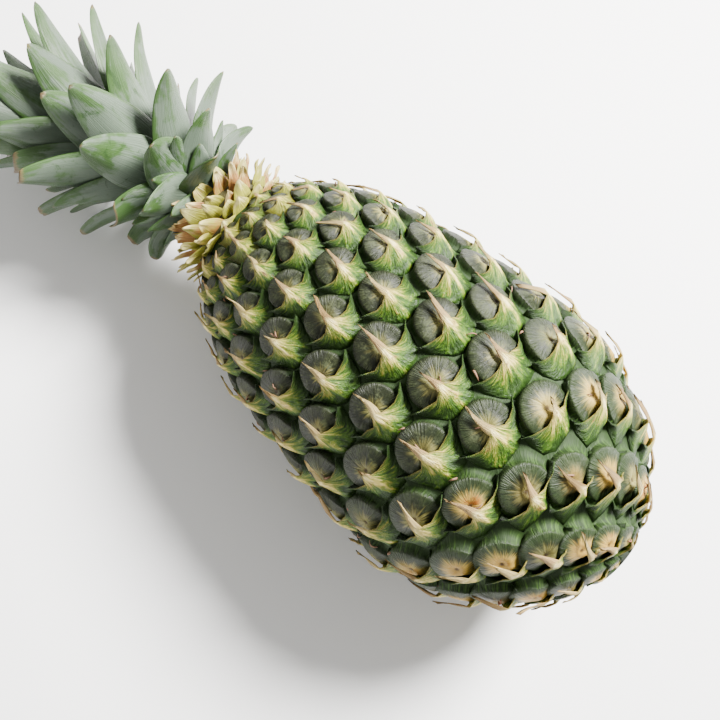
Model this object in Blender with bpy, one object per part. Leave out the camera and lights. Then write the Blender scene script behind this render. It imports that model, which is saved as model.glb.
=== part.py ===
"""A pineapple with its crown of leaves, lying on its side as on a table.

+X runs along the fruit towards the crown, +Z is up, and the origin is the middle of the
flattened eye that the fruit rests on. Lengths are in metres, angles in degrees. "Along"
is always the distance from the base end of the fruit, measured on its axis.
"""

import math
import random

import bmesh
import bpy
from mathutils import Matrix, Vector, noise

# The fruit: a turned body, fattest nearer its base, narrowing to the neck
FRUIT_LENGTH = 0.197
WIDEST_RADIUS = 0.062
WIDEST_FROM_BASE = 0.0715
BASE_CURVE = 1.7
SHOULDER_TAPER, SHOULDER_TAPER_POWER = 0.30, 1.25
NECK_DROP, NECK_DROP_POWER = 0.34, 6.0
SLOPE_STEP = 0.0004

# How it lies: the crown end sits a little lower, and the lowest eyes are pressed flat
AXIS_TILT = 4.0
REST_FLAT_DEPTH = 0.0024
REST_EYE_FROM_BASE = 0.0875

# The eyes stand in pairs on opposite sides, so 8 rows wind one way and 10 the other.
# A row is (levels to the next eye in it, turn to it)
TURN_PER_LEVEL = -39.69
LONG_ROW, RIGHT_ROW, LEFT_ROW = (-9, -2.79), (-5, 18.45), (4, 21.24)
LEVEL_STEP = 0.00272
STEP_SHRINK_TO_CROWN = 0.54
SMALL_EYE_RADIUS, SMALLEST_STEP = 0.036, 0.4
FIRST_EYE_FROM_BASE = 0.120
FIRST_EYE_ANGLE = 17.9
LAST_EYE_FROM_NECK = 0.002
TWIST_CENTRE, TWIST_LENGTH = 0.101, 0.060
TWIST_SQUARE, TWIST_CUBE = 11.3, 8.7
WANDER, WANDER_PER_METRE = 0.0011, 62.0
GROOVE_DEPTH, GROOVE_SHARE_OF_RADIUS = 0.0046, 0.11
EYE_SHOULDER, EYE_FULLNESS = 0.17, 0.6
DIMPLE_DEPTH = 0.0009

# The bract over each eye, in two draws: (lean to the crown, lift, width kept), by eye width
BRACT_DRAWS = ((0.16, 0.07, 0.62), (0.52, 0.20, 0.0))

# The base end: a shallow hollow round the cut stem
BASE_RING_RADIUS = 0.0142
FIRST_EYE_OUTSIDE_RING = 1.22
STEM_RADIUS, STEM_EDGE = 0.0110, 0.0008
STEM_HOLLOW_DEPTH, STEM_PROUD = 0.0040, 0.0005
GAP = 0.0003

# The neck: a short stalk with dry yellow scales, between the fruit and the crown
NECK_RADIUS, NECK_TOP_RADIUS, NECK_LENGTH = 0.0212, 0.0158, 0.0140
NECK_ROWS, NECK_SCALES_PER_ROW = 3, 11
FIRST_SCALE_AT, SCALES_SPREAD = 0.0019, 0.0073
SCALE_LENGTH, SCALE_WIDTH, SCALE_THICKNESS = 0.0125, 0.0108, 0.0013
SCALE_LEAN, SCALE_CURL = 60.0, -6.0
SCALE_ROOT_SINK = 0.002

# The crown: overlapping leaves on a stalk that bends to one side
CROWN_STALK_LENGTH, CROWN_STALK_RINGS = 0.064, 7
CROWN_STALK_RADIUS, CROWN_STALK_TIP_RADIUS = 0.0135, 0.0045
CROWN_BEND, CROWN_LEVEL_OUT, CROWN_BEND_OVER = 24.0, 4.0, 0.045
LEAF_COUNT = 66
GOLDEN_ANGLE = 137.508
FIRST_LEAF_AT, LEAF_SPREAD_POWER = 0.0030, 1.3
LEAF_SHORTEST, LEAF_LONGEST, LEAF_INNERMOST = 0.027, 0.066, 0.054
LONGEST_LEAF_SHARE, INNER_LEAF_SHARE = 0.65, 0.7
LEAF_WIDTH, LEAF_INNER_WIDTH = 0.023, 0.013
LEAF_LEAN, LEAF_LEAN_DROP, LEAF_LEAN_POWER = 86.0, 79.0, 0.55
LEAF_CURL = 17.0
LEAF_THICKNESS = 0.0015
LEAF_ROOT_SINK, LEAF_ROOT_OUT = 0.004, 0.75
FLOOR_CLEARANCE = 0.0002
SEED = 18

# Leaves and scales: full in the middle, narrower at the root, gutter-shaped across
BLADE_STATIONS = 5
BLADE_FULLNESS, BLADE_WAIST = 1.9, 0.55
BLADE_THINNING, BLADE_CHANNEL = 0.4, 0.16

TILT = math.radians(AXIS_TILT)
AXIS = Vector((math.cos(TILT), 0.0, -math.sin(TILT)))
OVER = Vector((math.sin(TILT), 0.0, math.cos(TILT)))
SIDE = Vector((0.0, 1.0, 0.0))


def mix(start, end, share):
    return start + (end - start) * share


# The fruit's form
def fruit_radius(along):
    """The outer radius over the tops of the eyes."""
    if along < WIDEST_FROM_BASE:
        share = min(1.0, 1.0 - along / WIDEST_FROM_BASE)
        return WIDEST_RADIUS * math.sqrt(max(0.0, 1.0 - share**BASE_CURVE))
    share = (along - WIDEST_FROM_BASE) / (FRUIT_LENGTH - WIDEST_FROM_BASE)
    taper = SHOULDER_TAPER * share**SHOULDER_TAPER_POWER
    return WIDEST_RADIUS * (1.0 - taper - NECK_DROP * share**NECK_DROP_POWER)


def fruit_slope(along):
    """Change of radius along the axis."""
    low, high = max(SLOPE_STEP * 0.5, along - SLOPE_STEP), min(FRUIT_LENGTH, along + SLOPE_STEP)
    return (fruit_radius(high) - fruit_radius(low)) / (high - low)


def where_eyes_begin():
    """How far along the skin's radius has grown to that of the ring round the stem."""
    low, high = 0.0, WIDEST_FROM_BASE
    while high - low > SLOPE_STEP * 0.1:
        middle = (low + high) * 0.5
        low, high = (middle, high) if fruit_radius(middle) < BASE_RING_RADIUS else (low, middle)
    return high


def groove_depth(along):
    return min(GROOVE_DEPTH, GROOVE_SHARE_OF_RADIUS * fruit_radius(along))


def radial(angle):
    """Direction out of the axis: 0 degrees is up, 90 is +Y."""
    turn = math.radians(angle)
    return OVER * math.cos(turn) + SIDE * math.sin(turn)


def skin_point(base, along, angle, lift=0.0):
    """A point on the fruit's outer surface, lifted along the surface's normal."""
    slope = fruit_slope(along)
    length = math.hypot(1.0, slope)
    out = fruit_radius(along) + lift / length
    return base + AXIS * (along - lift * slope / length) + radial(angle) * out


# Where the eyes are
def level_positions():
    """The lowest level of eyes, and how far along every level from there is, past both ends."""

    def step(along):
        shrink = 1.0 - STEP_SHRINK_TO_CROWN * (along / FRUIT_LENGTH) ** 3
        small = min(1.0, max(SMALLEST_STEP, fruit_radius(along) / SMALL_EYE_RADIUS))
        return LEVEL_STEP * shrink * small / math.hypot(1.0, fruit_slope(along))

    up, down = [FIRST_EYE_FROM_BASE], []
    while up[-1] < FRUIT_LENGTH:
        up.append(up[-1] + step(up[-1]))
    along = FIRST_EYE_FROM_BASE
    while along > EYES_FROM:
        along -= step(along)
        down.append(along)
    return -len(down), down[::-1] + up


EYES_FROM = where_eyes_begin()
LOWEST_LEVEL, LEVELS = level_positions()


def along_of(level):
    """How far along a whole or part level is, held between the two ends of the skin."""
    place = min(max(level - LOWEST_LEVEL, 0.0), len(LEVELS) - 1.001)
    low = int(place)
    return min(max(mix(LEVELS[low], LEVELS[low + 1], place - low), EYES_FROM), FRUIT_LENGTH)


def wandered(along, angle):
    """Adds the rows' twist, and a smooth small wander so that the eyes aren't set out like tiles."""
    share = (TWIST_CENTRE - along) / TWIST_LENGTH
    angle += TWIST_SQUARE * share**2 + TWIST_CUBE * share**3
    spot = skin_point(Vector(), along, angle) * WANDER_PER_METRE
    along += WANDER * noise.noise(spot)
    around = WANDER * noise.noise(spot + Vector((9, 4, 2)))
    return along, angle + math.degrees(around / fruit_radius(along))


def eye_middle(level, half):
    return wandered(along_of(level), FIRST_EYE_ANGLE + TURN_PER_LEVEL * level + 180.0 * half)


def eye_corners(level, half):
    """The six corners of an eye's cell, each a third of the way round two of its neighbours."""
    start = FIRST_EYE_ANGLE + TURN_PER_LEVEL * level + 180.0 * half
    around = [LONG_ROW, RIGHT_ROW, LEFT_ROW]
    around += [(-levels, -turn) for levels, turn in around]
    corners = []
    for first, second in zip(around, around[1:] + around[:1]):
        levels, turn = (first[0] + second[0]) / 3.0, (first[1] + second[1]) / 3.0
        corners.append(wandered(along_of(level + levels), start + turn))
    return corners


def eyes():
    """Every eye as (level, half), from the base to the neck."""
    smallest = FIRST_EYE_OUTSIDE_RING * BASE_RING_RADIUS
    levels = range(LOWEST_LEVEL, LOWEST_LEVEL + len(LEVELS))
    first = min(k for k in levels if fruit_radius(along_of(k)) > smallest)
    last = max(k for k in levels if along_of(k) < FRUIT_LENGTH - LAST_EYE_FROM_NECK)
    return [(level, half) for level in range(first, last + 1) for half in (0, 1)]


# Where the object stands: the flattened eye's middle is the origin
def place_base():
    """The base end's place, so that the skin's lowest line is the flattened depth below z = 0."""
    steps = [FRUIT_LENGTH * i / 400 for i in range(1, 401)]
    lowest = max(u * math.sin(TILT) + fruit_radius(u) * math.cos(TILT) for u in steps)

    def miss(eye):
        along, angle = eye_middle(*eye)
        below = math.radians(angle % 360.0 - 180.0) * WIDEST_RADIUS
        return math.hypot(along - REST_EYE_FROM_BASE, below)

    under = skin_point(Vector(), *eye_middle(*min(eyes(), key=miss)))
    return Vector((-under.x, -under.y, lowest - REST_FLAT_DEPTH))


BASE = place_base()


# Making and joining objects
def add_object(name, mesh, material, collection):
    piece = bpy.data.objects.new(name, mesh)
    piece.data.materials.append(material)
    collection.objects.link(piece)
    return piece


def mesh_from(work, name):
    """Closes what is still open and turns the faces outwards."""
    bmesh.ops.holes_fill(work, edges=[edge for edge in work.edges if edge.is_boundary], sides=0)
    bmesh.ops.recalc_face_normals(work, faces=work.faces[:])
    if work.calc_volume(signed=True) < 0.0:
        bmesh.ops.reverse_faces(work, faces=work.faces[:])
    mesh = bpy.data.meshes.new(name)
    work.to_mesh(mesh)
    work.free()
    return mesh


def finish(name, colour, roughness):
    """A plain surface of one colour."""
    material = bpy.data.materials.new(name)
    material.use_nodes = True
    shader = material.node_tree.nodes["Principled BSDF"]
    shader.inputs["Base Color"].default_value = (*colour, 1.0)
    shader.inputs["Roughness"].default_value = roughness
    shader.inputs["Metallic"].default_value = 0.0
    return material


def apply_boolean(piece, operation, other=None, collection=None):
    """Joins or cuts with one object or a whole collection, and keeps only the result."""
    step = piece.modifiers.new(operation.lower(), "BOOLEAN")
    step.operation = operation
    step.solver = "MANIFOLD"
    if collection:
        step.operand_type = "COLLECTION"
        step.collection = collection
    else:
        step.object = other
    bpy.context.view_layer.update()
    graph = bpy.context.evaluated_depsgraph_get()
    mesh = bpy.data.meshes.new_from_object(piece.evaluated_get(graph))
    piece.modifiers.clear()
    piece.data = mesh
    for helper in list(collection.objects) if collection else [other]:
        bpy.data.objects.remove(helper)


def keep_outer_skin(piece):
    """Drops the small inner skins that overlapping roots close off, so the piece is solid."""
    work = bmesh.new()
    work.from_mesh(piece.data)
    waiting, skins = set(work.faces), []
    while waiting:
        skin, search = set(), [waiting.pop()]
        while search:
            face = search.pop()
            skin.add(face)
            near = {other for edge in face.edges for other in edge.link_faces} & waiting
            waiting -= near
            search.extend(near)
        skins.append(skin)
    outer = max(skins, key=len)
    bmesh.ops.delete(work, geom=[face for face in work.faces if face not in outer], context="FACES")
    work.to_mesh(piece.data)
    work.free()


# The fruit's skin: a six-sided cell for each eye, raised to a dome with a bract
def add_cell(work, corners):
    """A six-sided face looking outwards, with its corners down in the grooves between the eyes."""
    made = bmesh.ops.create_circle(work, cap_ends=True, radius=WIDEST_RADIUS, segments=6)["verts"]
    face = made[0].link_faces[0]
    for vertex, (along, angle) in zip(face.verts[:], corners[::-1]):
        vertex.co = skin_point(BASE, along, angle, -groove_depth(along))
    return face


def grow_bract(work, ring, middle, width, out, to_crown):
    """A pointed hood, drawn up out of the two faces on the eye's base side."""
    top = sorted(ring, key=lambda face: (face.calc_center_median() - middle).dot(to_crown))[:2]
    for lean, lift, kept in BRACT_DRAWS:
        made = bmesh.ops.extrude_face_region(work, geom=top)["geom"]
        bmesh.ops.delete(work, geom=top, context="FACES")
        top = [part for part in made if isinstance(part, bmesh.types.BMFace)]
        moved = [part for part in made if isinstance(part, bmesh.types.BMVert)]
        centre = sum((vertex.co for vertex in moved), Vector()) / len(moved)
        goal = centre + (to_crown * lean + out * lift) * width
        for vertex in moved:
            vertex.co = goal + (vertex.co - centre) * kept
    bmesh.ops.pointmerge(work, verts=moved, merge_co=goal)


def raise_eye(work, face, eye):
    """Lifts an eye's face out of its grooves, dimples its middle and grows its bract."""
    along, angle = eye_middle(*eye)
    middle = skin_point(BASE, along, angle)
    out = (skin_point(BASE, along, angle, GROOVE_DEPTH) - middle).normalized()
    to_crown = (AXIS - out * AXIS.dot(out)).normalized()
    width = math.sqrt(face.calc_area())
    sunk = (middle - face.calc_center_median()).dot(out)
    ring = bmesh.ops.inset_individual(
        work,
        faces=[face],
        thickness=EYE_SHOULDER * width,
        depth=mix(groove_depth(along), sunk, EYE_FULLNESS),
        use_even_offset=True,
    )["faces"]
    dimple = bmesh.ops.poke(work, faces=[face])["verts"][0]
    dimple.co -= out * DIMPLE_DEPTH
    grow_bract(work, ring, middle, width, out, to_crown)


def close_end(work, crown_side, rings):
    """Draws one open end of the skin in to rings of (along, radius), and fills the last."""
    half_way = BASE + AXIS * FRUIT_LENGTH * 0.5
    rims = [edge for edge in work.edges if edge.is_boundary]
    edges = [e for e in rims if ((e.verts[0].co - half_way).dot(AXIS) > 0.0) == crown_side]
    for along, radius in rings:
        made = bmesh.ops.extrude_edge_only(work, edges=edges)["geom"]
        edges = [part for part in made if isinstance(part, bmesh.types.BMEdge)]
        for vertex in [part for part in made if isinstance(part, bmesh.types.BMVert)]:
            from_axis = vertex.co - BASE
            from_axis -= AXIS * from_axis.dot(AXIS)
            vertex.co = BASE + AXIS * along + from_axis.normalized() * radius
    bmesh.ops.holes_fill(work, edges=edges, sides=0)


def fruit_mesh():
    work = bmesh.new()
    cells = [(add_cell(work, eye_corners(*eye)), eye) for eye in eyes()]
    bmesh.ops.remove_doubles(work, verts=work.verts[:], dist=0.0001)
    for face, eye in cells:
        raise_eye(work, face, eye)
    lip = (EYES_FROM * 0.6, BASE_RING_RADIUS * 0.94)
    hollow = (EYES_FROM + STEM_HOLLOW_DEPTH, BASE_RING_RADIUS * 0.88)
    close_end(work, False, [lip, hollow])
    close_end(work, True, [(FRUIT_LENGTH, NECK_RADIUS)])
    return mesh_from(work, "fruit")


def make_fruit(collection, cutters):
    """The whole fruit, cut flat where it lies."""
    fruit = add_object("fruit", fruit_mesh(), finish("skin", (0.10, 0.19, 0.06), 0.55), collection)
    size = FRUIT_LENGTH * 3.0
    bpy.ops.mesh.primitive_cube_add(size=size, location=(0.0, 0.0, -size * 0.5))
    floor = bpy.context.object
    floor.name = "floor_cutter"
    floor.hide_render = True
    floor.display_type = "WIRE"
    cutters.objects.link(floor)
    apply_boolean(fruit, "DIFFERENCE", other=floor)


# Leaves, scales and stalks: a section drawn out along a line, station by station
def draw_out(name, sections, tip=None):
    """A solid through sections of points, ending in a point or in the last section."""
    work = bmesh.new()
    made = bmesh.ops.create_circle(
        work, cap_ends=True, radius=NECK_RADIUS, segments=len(sections[0])
    )["verts"]
    face = made[0].link_faces[0]
    for index, section in enumerate(sections + [[tip] * len(sections[0])] if tip else sections):
        if index:
            face = bmesh.ops.extrude_discrete_faces(work, faces=[face])["faces"][0]
        for vertex, place in zip(face.verts[:], section):
            vertex.co = place
    if tip:
        bmesh.ops.pointmerge(work, verts=face.verts[:], merge_co=tip)
    return mesh_from(work, name)


def stalk_mesh(name, rings, sides):
    """A round stalk through rings of (middle, direction, radius)."""
    sections = []
    for middle, ahead, radius in rings:
        turn = ahead.to_track_quat("Z", "Y")
        angles = [2.0 * math.pi * k / sides for k in range(sides)]
        spokes = [turn @ Vector((math.cos(a), math.sin(a), 0.0)) for a in angles]
        sections.append([middle + spoke * radius for spoke in spokes])
    return draw_out(name, sections)


def blade(root, along, away, length, width, lean, curl, thickness, sink):
    """Sections and tip of a blade that leans out from its stalk, and curls between root and tip."""
    across = along.cross(away).normalized()

    def ahead_at(share):
        angle = math.radians(lean + curl * (2.0 * share**0.8 - 1.0))
        return along * math.cos(angle) + away * math.sin(angle)

    point = root - ahead_at(0.0) * sink
    sections = []
    for k in range(BLADE_STATIONS):
        share = k / BLADE_STATIONS
        ahead = ahead_at(share)
        inward = ahead.cross(across).normalized()
        taper = math.sqrt(1.0 - share**BLADE_FULLNESS) * min(1.0, BLADE_WAIST + share)
        edge = across * width * 0.5 * taper
        gutter = inward * width * BLADE_CHANNEL * taper
        half_thick = inward * thickness * (1.0 - BLADE_THINNING * share) * 0.5
        sections.append(
            [point + edge + gutter, point + half_thick, point - edge + gutter, point - half_thick]
        )
        point = point + ahead * (length + sink) / BLADE_STATIONS
    return sections, point


def crown_frame(at):
    """The stalk's middle and its directions (along, over, side) at a distance from its foot."""
    point, steps = BASE + AXIS * (FRUIT_LENGTH + NECK_LENGTH + 2.0 * GAP), max(1, int(at / 0.001))
    for k in range(steps + 1):
        share = min(1.0, at * k / steps / CROWN_BEND_OVER)
        turn = Matrix.Rotation(math.radians(CROWN_BEND * share), 3, "Z")
        lift = Matrix.Rotation(math.radians(-CROWN_LEVEL_OUT * share), 3, "Y")
        along = turn @ lift @ AXIS
        if k:
            point = point + along * (at / steps)
    over = (OVER - along * OVER.dot(along)).normalized()
    return point, along, over, over.cross(along)


def crown_radius(at):
    return mix(CROWN_STALK_RADIUS, CROWN_STALK_TIP_RADIUS, at / CROWN_STALK_LENGTH)


def leaf_form(share):
    """Length, width and lean of a leaf: short and spread low down, long and upright higher."""
    grown = math.sin(min(1.0, share / LONGEST_LEAF_SHARE) * math.pi / 2.0)
    inner = max(0.0, (share - INNER_LEAF_SHARE) / (1.0 - INNER_LEAF_SHARE))
    length = mix(LEAF_SHORTEST, LEAF_LONGEST, grown) + (LEAF_INNERMOST - LEAF_LONGEST) * inner
    width = mix(LEAF_WIDTH, LEAF_INNER_WIDTH, inner)
    return length, width, LEAF_LEAN - LEAF_LEAN_DROP * share**LEAF_LEAN_POWER


def crown_leaf(index, draw):
    """One leaf, leaned in until it clears what the fruit lies on."""
    share = index / (LEAF_COUNT - 1)
    at = mix(FIRST_LEAF_AT, CROWN_STALK_LENGTH, share**LEAF_SPREAD_POWER)
    point, along, over, side = crown_frame(at)
    turn = math.radians(GOLDEN_ANGLE * index + draw.uniform(-8.0, 8.0))
    away = over * math.cos(turn) + side * math.sin(turn)
    length, width, lean = leaf_form(share)
    lean += draw.uniform(-6.0, 6.0)
    length *= draw.uniform(0.86, 1.12)
    root = point + away * crown_radius(at) * LEAF_ROOT_OUT
    curl, thickness = LEAF_CURL * (1.0 - 0.5 * share), LEAF_THICKNESS * (1.0 - 0.3 * share)
    while True:
        sections, tip = blade(root, along, away, length, width, lean, curl, thickness, LEAF_ROOT_SINK)
        if min(place.z for section in sections + [[tip]] for place in section) > FLOOR_CLEARANCE:
            return sections, tip
        lean -= 0.65


def make_crown(collection, loose):
    draw = random.Random(SEED)
    rings = []
    for k in range(CROWN_STALK_RINGS):
        at = CROWN_STALK_LENGTH * k / (CROWN_STALK_RINGS - 1)
        middle, ahead = crown_frame(at)[:2]
        rings.append((middle, ahead, crown_radius(at)))
    green = finish("leaf", (0.25, 0.36, 0.24), 0.5)
    crown = add_object("crown_leaves", stalk_mesh("crown_leaves", rings, 10), green, collection)
    for index in range(LEAF_COUNT):
        add_object("leaf", draw_out("leaf", *crown_leaf(index, draw)), green, loose)
    apply_boolean(crown, "UNION", collection=loose)
    keep_outer_skin(crown)


def make_neck(collection, loose):
    draw = random.Random(SEED + 1)
    foot = BASE + AXIS * (FRUIT_LENGTH + GAP)
    rings = [(foot, AXIS, NECK_RADIUS), (foot + AXIS * NECK_LENGTH, AXIS, NECK_TOP_RADIUS)]
    yellow = finish("dry_scale", (0.62, 0.50, 0.20), 0.6)
    neck = add_object("neck_scales", stalk_mesh("neck_scales", rings, 12), yellow, collection)
    for row in range(NECK_ROWS):
        share = row / NECK_ROWS
        at = FIRST_SCALE_AT + SCALES_SPREAD * share
        stalk = mix(NECK_RADIUS, NECK_TOP_RADIUS, share)
        for k in range(NECK_SCALES_PER_ROW):
            turn = 360.0 * (k + 0.5 * row) / NECK_SCALES_PER_ROW + draw.uniform(-4.0, 4.0)
            size = draw.uniform(0.85, 1.1)
            away = radial(turn)
            sections, tip = blade(
                foot + AXIS * at + away * (stalk - SCALE_ROOT_SINK),
                AXIS, away, SCALE_LENGTH * size, SCALE_WIDTH * size,
                SCALE_LEAN, SCALE_CURL, SCALE_THICKNESS, SCALE_ROOT_SINK,
            )
            add_object("scale", draw_out("scale", sections[::2], tip), yellow, loose)
    apply_boolean(neck, "UNION", collection=loose)
    keep_outer_skin(neck)


def make_stem(collection):
    """The cut stem, a short stub in the hollow at the base."""
    inner = EYES_FROM + STEM_HOLLOW_DEPTH - GAP
    outer = EYES_FROM * 0.6 - STEM_PROUD
    rings = [(inner, STEM_RADIUS), (outer + STEM_EDGE, STEM_RADIUS), (outer, STEM_RADIUS - STEM_EDGE)]
    rings = [(BASE + AXIS * along, AXIS, radius) for along, radius in rings]
    tan = finish("cut_stem", (0.55, 0.42, 0.25), 0.8)
    add_object("cut_stem", stalk_mesh("cut_stem", rings, 16), tan, collection)


def new_collection(name):
    made = bpy.data.collections.new(name)
    bpy.context.scene.collection.children.link(made)
    return made


def main():
    for thing in list(bpy.data.objects):
        bpy.data.objects.remove(thing)
    pineapple = new_collection("pineapple")
    cutters = new_collection("cutters")
    loose = new_collection("loose_blades")
    make_fruit(pineapple, cutters)
    make_neck(pineapple, loose)
    make_crown(pineapple, loose)
    make_stem(pineapple)


main()
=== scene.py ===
"""How a fresh pineapple looks, lying on its side, dressed over its plain solids.

+X runs along the fruit towards the crown and +Z is up. Lengths are in metres, angles in
degrees. "Along" is always the distance from the base end, measured on the fruit's axis.
An eye has its own flat measure: x towards the crown and y to its side, over the skin.
"""

import bisect
import random
from math import atan2, copysign, cos, degrees, exp, hypot, pi, radians, sin, sqrt

import bmesh
import bpy
from mathutils import Matrix, Vector, noise


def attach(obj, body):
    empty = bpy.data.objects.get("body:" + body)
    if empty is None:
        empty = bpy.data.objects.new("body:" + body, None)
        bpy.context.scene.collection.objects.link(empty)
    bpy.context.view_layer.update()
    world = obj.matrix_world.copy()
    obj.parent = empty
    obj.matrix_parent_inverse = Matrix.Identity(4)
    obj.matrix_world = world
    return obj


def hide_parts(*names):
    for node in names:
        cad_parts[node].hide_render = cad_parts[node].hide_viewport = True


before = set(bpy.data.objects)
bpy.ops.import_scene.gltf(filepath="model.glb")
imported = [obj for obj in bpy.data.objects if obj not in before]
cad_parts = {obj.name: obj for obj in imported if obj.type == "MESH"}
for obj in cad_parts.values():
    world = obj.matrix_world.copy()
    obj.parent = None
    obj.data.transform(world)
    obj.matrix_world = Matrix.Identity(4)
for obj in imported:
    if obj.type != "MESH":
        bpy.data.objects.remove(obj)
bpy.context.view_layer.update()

# The fruit: a turned body, fattest nearer its base, narrowing to the neck
FRUIT_LENGTH = 0.197
WIDEST_RADIUS = 0.062
WIDEST_FROM_BASE = 0.0715
BASE_CURVE = 1.7
SHOULDER_TAPER, SHOULDER_TAPER_POWER = 0.3, 1.25
NECK_DROP, NECK_DROP_POWER = 0.34, 6.0
SLOPE_STEP = 0.0004
AXIS_TILT = 4.0
REST_FLAT_DEPTH = 0.0024
REST_EYE_FROM_BASE = 0.0875

# The eyes stand in pairs. A row is (levels to the next eye in it, turn to it)
TURN_PER_LEVEL = -39.69
LONG_ROW, RIGHT_ROW, LEFT_ROW = (-9, -2.79), (-5, 18.45), (4, 21.24)
LEVEL_STEP = 0.00272
STEP_SHRINK_TO_CROWN = 0.54
SMALL_EYE_RADIUS, SMALLEST_STEP = 0.036, 0.4
FIRST_EYE_FROM_BASE = 0.12
FIRST_EYE_ANGLE = 17.9
LAST_EYE_FROM_NECK = 0.002
TWIST_CENTRE, TWIST_LENGTH = 0.101, 0.06
TWIST_SQUARE, TWIST_CUBE = 11.3, 8.7
WANDER, WANDER_PER_METRE = 0.0011, 62.0
GROOVE_DEPTH, GROOVE_SHARE_OF_RADIUS = 0.0046, 0.11
BASE_RING_RADIUS = 0.0142
FIRST_EYE_OUTSIDE_RING = 1.22
STEM_HOLLOW_DEPTH = 0.004
GAP = 0.0003

# The neck and the crown
NECK_RADIUS, NECK_TOP_RADIUS, NECK_LENGTH = 0.0212, 0.0158, 0.014
NECK_ROWS_OF_SCALES = (
    (-0.002, 18, 74.0, 0.0088), (0.0006, 16, 66.0, 0.0105), (0.0032, 15, 60.0, 0.0118),
    (0.0062, 13, 54.0, 0.0125), (0.0094, 12, 46.0, 0.0125), (0.0124, 11, 38.0, 0.011),
)
SCALE_WIDTH, SCALE_THICKNESS, SCALE_ROOT_SINK = 0.0125, 0.0006, 0.002
CROWN_STALK_LENGTH, CROWN_STALK_RINGS = 0.064, 7
CROWN_STALK_RADIUS, CROWN_STALK_TIP_RADIUS = 0.0135, 0.0045
CROWN_BEND, CROWN_LEVEL_OUT, CROWN_BEND_OVER = 24.0, 4.0, 0.045
LEAF_COUNT = 66
GOLDEN_ANGLE = 137.508
FIRST_LEAF_AT, LEAF_SPREAD_POWER = 0.003, 1.3
LEAF_SHORTEST, LEAF_LONGEST, LEAF_INNERMOST = 0.027, 0.066, 0.054
LONGEST_LEAF_SHARE, INNER_LEAF_SHARE = 0.65, 0.7
LEAF_WIDTH, LEAF_INNER_WIDTH = 0.023, 0.013
LEAF_LEAN, LEAF_LEAN_DROP, LEAF_LEAN_POWER = 86.0, 79.0, 0.55
LEAF_CURL = 17.0
LEAF_THICKNESS = 0.0015
LEAF_ROOT_SINK, LEAF_ROOT_OUT = 0.004, 0.75
FLOOR_CLEARANCE = 0.0002
CUT_LEAVES, UNCUT_FROM, LEAF_CUT, LEAF_WIDER = 0.36, 0.8, (0.68, 0.9), (1.08, 1.24)
LEAF_WAVE, SCALE_WAVE, CUT_RAGGED = 0.0008, 0.0022, 0.0016
FOOT_LEAF_WIDTH = 0.0165
FOOT_ROWS_OF_LEAVES = ((0.0002, 8, 66.0, 0.0175), (0.004, 8, 60.0, 0.0215), (0.008, 7, 54.0, 0.0255))
LEAF_FORM = dict(sink=LEAF_ROOT_SINK, wave=LEAF_WAVE, channel=0.21, full=2.2, point=0.78)
FOOT_LEAF_FORM = dict(sink=LEAF_ROOT_SINK, wave=LEAF_WAVE, channel=0.24, full=1.9, point=0.85)
SCALE_FORM = dict(sink=SCALE_ROOT_SINK, wave=SCALE_WAVE, full=1.15, point=0.95)
SEED = 18
BLADE_STATIONS = 5
BLADE_FULLNESS, BLADE_WAIST = 1.9, 0.55
BLADE_THINNING, BLADE_CHANNEL = 0.4, 0.16
BLADE_FLOOR = 0.0014
BLADE_MARKS = ("draw", "inner", "cut")

# The camera, with lens and sensor in millimetres, and the slant as (level, steep) shares
CAMERA_AIM_ALONG, CAMERA_TIP, CAMERA_TO_BASE = 0.101, 18.5, 0.05
CAMERA_SLANT, CAMERA_OFF_CENTRE, CAMERA_DISTANCE = (0.75, 0.66), (0.061, 0.028), 0.393
CAMERA_LENS, CAMERA_SENSOR = 50.0, 36.0

# An eye's own form, in shares of its size (the distance from its middle to its corners)
FLAT_SIDE = sqrt(0.75)
DISC, DISC_RADIUS = Vector((0.11, 0.0)), 0.72
EDGE_CUTS = 5
WALL_RINGS = (0.72, 0.42, 0.18)
DISC_RINGS = (1.0, 0.9, 0.77, 0.62, 0.46, 0.3, 0.15)
FULL_EYE = 0.0137
BRACT_REACH, BRACT_SPREAD = 96.0, 1.02
BRACT_ROWS, BRACT_COLUMNS, SPINE_ROWS, COLUMNS_TO_MIDDLE = 6, 10, 4, 1.25
BRACT_TOP = ((0.0, 0.14, 0.32, 0.55, 0.8, 1.0), (0.0024, 0.0015, 0.0, -0.0011, -0.0009, -0.0012))
EYE_MARKS = ("draw", "ripe", "yellow", "base")
BRACT_THICKNESS, BIT_THICKNESS, LEAST_HEIGHT = 0.0004, 0.00025, 0.0006

# The disc's dome, its crater, and (depth, from, to) of where the bract lies over it, by azimuth
DOME_DROP, DOME_POWER = 0.0013, 2.5
CRATER_DEPTH, CRATER_SHARE = 0.0012, 0.2
COVERED = ((0.0013, 70.0, 112.0), (0.0019, 108.0, 140.0), (-0.0013, 150.0, 178.0))
RIM_WAVER, DISC_WAVER, WALL_POWER = 0.03, 0.00025, 4.0

# The bract: how its edge lies over the disc, its keel and its spine
PEAK_BACK, PEAK_FORWARD, PEAK_WIDTH = 0.07, 0.14, 0.34
ARM_SAG, ARM_DROOP, RAGGED = 0.3, 0.2, 0.07
KEEL_HEIGHT, KEEL_WIDTH, WRINKLE = 0.0007, 0.09, 0.0007
STEEP_MIDDLE, STEEP_VALLEY = 0.72, 1.5
SPINE_TOP, SPINE_TAPER = 0.0028, 0.97

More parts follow.
